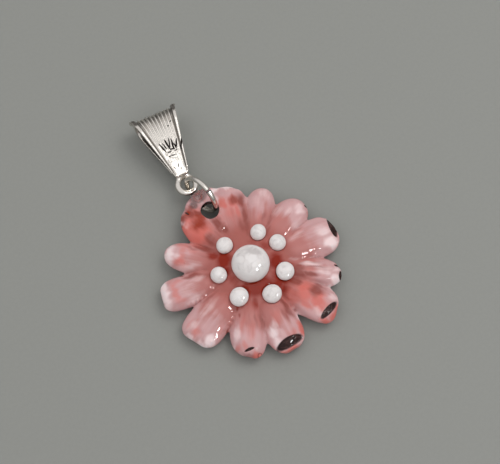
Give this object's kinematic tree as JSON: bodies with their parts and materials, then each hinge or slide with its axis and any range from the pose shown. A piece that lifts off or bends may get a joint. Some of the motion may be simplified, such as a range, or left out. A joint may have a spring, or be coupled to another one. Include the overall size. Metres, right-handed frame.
{
  "type": "flower pendant",
  "caption": "Pressed glass flower pendant with a domed centre and raised dots, hung by a jump ring from a ribbed tapered metal bail, lying on its back.",
  "frame": {"origin": "the flower's centre on its flat back, at the height of the surface that the pendant rests on", "axes": "+Z out of the flower's face, +Y from the flower's centre towards the hole and the bail, +X to the right seen from the front"},
  "size_m": [0.034, 0.0528, 0.0082],
  "materials": {
    "pink_glass": "glossy streaky pink and white glass, clear round the hanging hole, darker at some tips",
    "white_glass": "glossy opaque white glass",
    "silver_wire": "polished warm silver wire",
    "silver_bail": "polished silver plate, darker between the ribs"
  },
  "bodies": {
    "root": {"flower": "pink_glass", "centre_dome": "white_glass", "dot_1": "white_glass", "dot_2": "white_glass", "dot_3": "white_glass", "dot_4": "white_glass", "dot_5": "white_glass", "dot_6": "white_glass", "dot_7": "white_glass", "jump_ring": "silver_wire", "bail": "silver_bail"}
  },
  "joints": []
}
